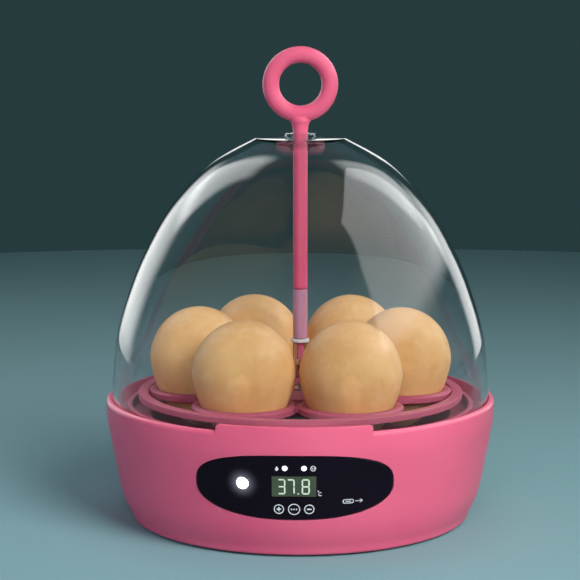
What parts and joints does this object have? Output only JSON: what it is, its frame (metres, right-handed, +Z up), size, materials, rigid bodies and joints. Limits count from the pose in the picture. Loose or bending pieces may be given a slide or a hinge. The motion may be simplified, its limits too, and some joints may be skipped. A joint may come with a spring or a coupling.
{
  "type": "egg incubator",
  "caption": "Round tabletop egg incubator with a front control panel, a clear egg-shaped dome, a turning egg rack and a ring handle through the dome.",
  "frame": {"origin": "centre of the footprint, on the surface that the feet stand on", "axes": "+Z up through the rod and the ring handle; the control panel faces -Y; the power inlet faces +Y"},
  "size_m": [0.1768, 0.1769, 0.2134],
  "materials": {
    "pink_plastic": "satin moulded",
    "deep_pink_plastic": "satin moulded",
    "black_gloss_panel": "polished",
    "clear_plastic": "clear, polished",
    "milky_sleeve": "translucent, satin",
    "white_plastic": "satin moulded",
    "black_rubber": "matt",
    "circuit_board": "solder-masked",
    "dark_plastic": "matt moulded",
    "lcd_glass": "polished",
    "lit_lens": "lit lens",
    "heater_silicone": "matt",
    "egg_shell": "fine-pored, matt",
    "steel": "plated"
  },
  "bodies": {
    "base": {"base_shell": "pink_plastic", "inner_tub": "pink_plastic", "bottom_cover": "deep_pink_plastic", "fan_cowl": "deep_pink_plastic", "water_tray": "deep_pink_plastic", "heater_ring": "heater_silicone", "fan_frame": "dark_plastic", "temperature_sensor": "steel", "control_panel": "black_gloss_panel", "lcd_display": "lcd_glass", "candler_lens": "lit_lens", "candler_led": "lit_lens", "indicator_1": "lit_lens", "indicator_2": "lit_lens", "switch_plus": "dark_plastic", "switch_set": "dark_plastic", "switch_minus": "dark_plastic", "control_board": "circuit_board", "power_board": "circuit_board", "usb_c_socket": "steel", "foot_1": "black_rubber", "cover_screw_1": "steel", "foot_2": "black_rubber", "cover_screw_2": "steel", "foot_3": "black_rubber", "cover_screw_3": "steel", "foot_4": "black_rubber", "cover_screw_4": "steel", "fan_screw_1": "steel", "board_screw_1": "steel", "power_screw_1": "steel", "fan_screw_2": "steel", "board_screw_2": "steel", "power_screw_2": "steel"},
    "dome": {"dome": "clear_plastic"},
    "fan": {"fan_impeller": "dark_plastic"},
    "key_plus": {"key_plus": "black_gloss_panel"},
    "key_set": {"key_set": "black_gloss_panel"},
    "key_minus": {"key_minus": "black_gloss_panel"},
    "hub": {"turn_hub": "white_plastic"},
    "rack": {"egg_rack": "pink_plastic", "socket_post": "clear_plastic", "egg_1": "egg_shell", "egg_2": "egg_shell", "egg_3": "egg_shell", "egg_4": "egg_shell", "egg_5": "egg_shell", "egg_6": "egg_shell"},
    "bush": {"dome_bush": "clear_plastic"},
    "handle": {"handle": "pink_plastic", "rod_sleeve": "milky_sleeve", "rod_collar": "white_plastic"}
  },
  "joints": [
    {"name": "dome_lift", "type": "slide", "parent": "base", "child": "dome", "axis": [0, 0, 1], "range_m": [0, 0.15]},
    {"name": "rack_turn", "type": "hinge", "parent": "base", "child": "hub", "pos_m": [0, 0, 0.05], "axis": [0, 0, 1], "continuous": true},
    {"name": "rack_lift", "type": "slide", "parent": "hub", "child": "rack", "axis": [0, 0, 1], "range_m": [0, 0.03]},
    {"name": "handle_turn", "type": "hinge", "parent": "dome", "child": "bush", "pos_m": [0, 0, 0.17], "axis": [0, 0, 1], "continuous": true},
    {"name": "handle_slide", "type": "slide", "parent": "bush", "child": "handle", "axis": [0, 0, 1], "range_m": [0, 0.03]},
    {"name": "fan_spin", "type": "hinge", "parent": "base", "child": "fan", "pos_m": [0, 0, 0.032], "axis": [0, 0, 1], "continuous": true},
    {"name": "key_plus_press", "type": "slide", "parent": "base", "child": "key_plus", "axis": [0.0734, 0.9806, 0.1819], "range_m": [0, 0.0005], "stiffness_N_per_m": 400, "springref_m": -0.0015},
    {"name": "key_set_press", "type": "slide", "parent": "base", "child": "key_set", "axis": [0, 0.9833, 0.1819], "range_m": [0, 0.0005], "stiffness_N_per_m": 400, "springref_m": -0.0015},
    {"name": "key_minus_press", "type": "slide", "parent": "base", "child": "key_minus", "axis": [-0.0734, 0.9806, 0.1819], "range_m": [0, 0.0005], "stiffness_N_per_m": 400, "springref_m": -0.0015}
  ],
  "couplings": [
    {"joint": "handle_turn", "follows": "rack_turn", "ratio": 1},
    {"joint": "handle_slide", "follows": "rack_lift", "ratio": 1}
  ]
}
